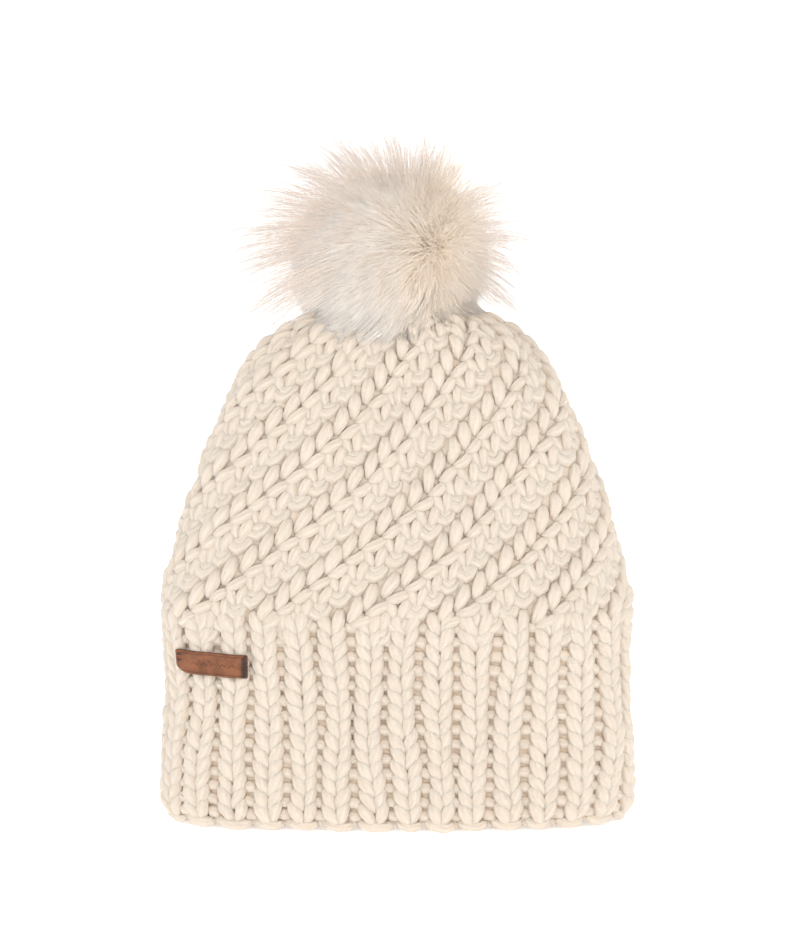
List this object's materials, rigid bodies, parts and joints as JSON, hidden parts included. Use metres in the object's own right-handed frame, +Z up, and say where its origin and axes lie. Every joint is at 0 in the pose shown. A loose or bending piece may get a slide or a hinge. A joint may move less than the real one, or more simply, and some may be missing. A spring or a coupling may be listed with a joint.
{
  "type": "pom pom beanie",
  "caption": "Chunky knitted beanie with a ribbed brim, spiral-ridged crown, detachable faux-fur pom, small leather label and a fleece band inside.",
  "frame": {"origin": "centre of the head opening, in the plane of the hem's lower face", "axes": "+Z up through the crown to the pom, -Y towards the front with the label, +X to the wearer's left, which is the viewer's right"},
  "size_m": [0.2351, 0.1, 0.335],
  "materials": {
    "yarn": "soft chunky cream wool-blend yarn",
    "felt": "pressed felt",
    "snap_plastic": "moulded, satin",
    "spring_steel": "bright wire",
    "thread": "twisted sewing thread",
    "filling": "polyester fibre fill",
    "fur": "faux fur, long combed pile",
    "fleece": "brushed fleece",
    "leather": "matt, fine grain, cut edges",
    "dark_thread": "twisted sewing thread",
    "satin": "woven satin, blank"
  },
  "bodies": {
    "hat": {"rib_band": "yarn", "cast_on_edge": "yarn", "crown": "yarn", "fleece_band": "fleece", "fleece_top_stitches": "thread", "fleece_bottom_stitches": "thread", "leather_label": "leather", "label_bar_tack": "dark_thread", "label_end_stitches": "dark_thread", "care_label_stitches": "thread"},
    "gather": {"crown_gather_yarn": "yarn"},
    "tip": {"crown_tip": "yarn", "felt_washer": "felt", "snap_stud": "snap_plastic", "snap_stud_cap": "snap_plastic"},
    "snap_grip": {"snap_ring_spring": "spring_steel"},
    "pom": {"snap_socket": "snap_plastic", "snap_socket_cap": "snap_plastic", "pom_base_disc": "felt", "pom_gather_thread": "thread", "pom_filling": "filling", "pom_fur_cover": "fur"},
    "care_label": {"care_label": "satin"}
  },
  "joints": [
    {"name": "pom_nod", "type": "hinge", "parent": "hat", "child": "gather", "pos_m": [0, 0, 0.2495], "axis": [1, 0, 0], "range_deg": [-12, 12]},
    {"name": "pom_lean", "type": "hinge", "parent": "gather", "child": "tip", "pos_m": [0, 0, 0.2495], "axis": [0, 1, 0], "range_deg": [-12, 12]},
    {"name": "pom_pull_off", "type": "slide", "parent": "tip", "child": "snap_grip", "axis": [0, 0, 1], "range_m": [0, 0.03]},
    {"name": "pom_spin", "type": "hinge", "parent": "snap_grip", "child": "pom", "pos_m": [0, 0, 0.2495], "axis": [0, 0, 1], "continuous": true},
    {"name": "care_label_swing", "type": "hinge", "parent": "hat", "child": "care_label", "pos_m": [0, 0.0296, 0.071], "axis": [1, 0, 0], "range_deg": [-60, 0]}
  ]
}
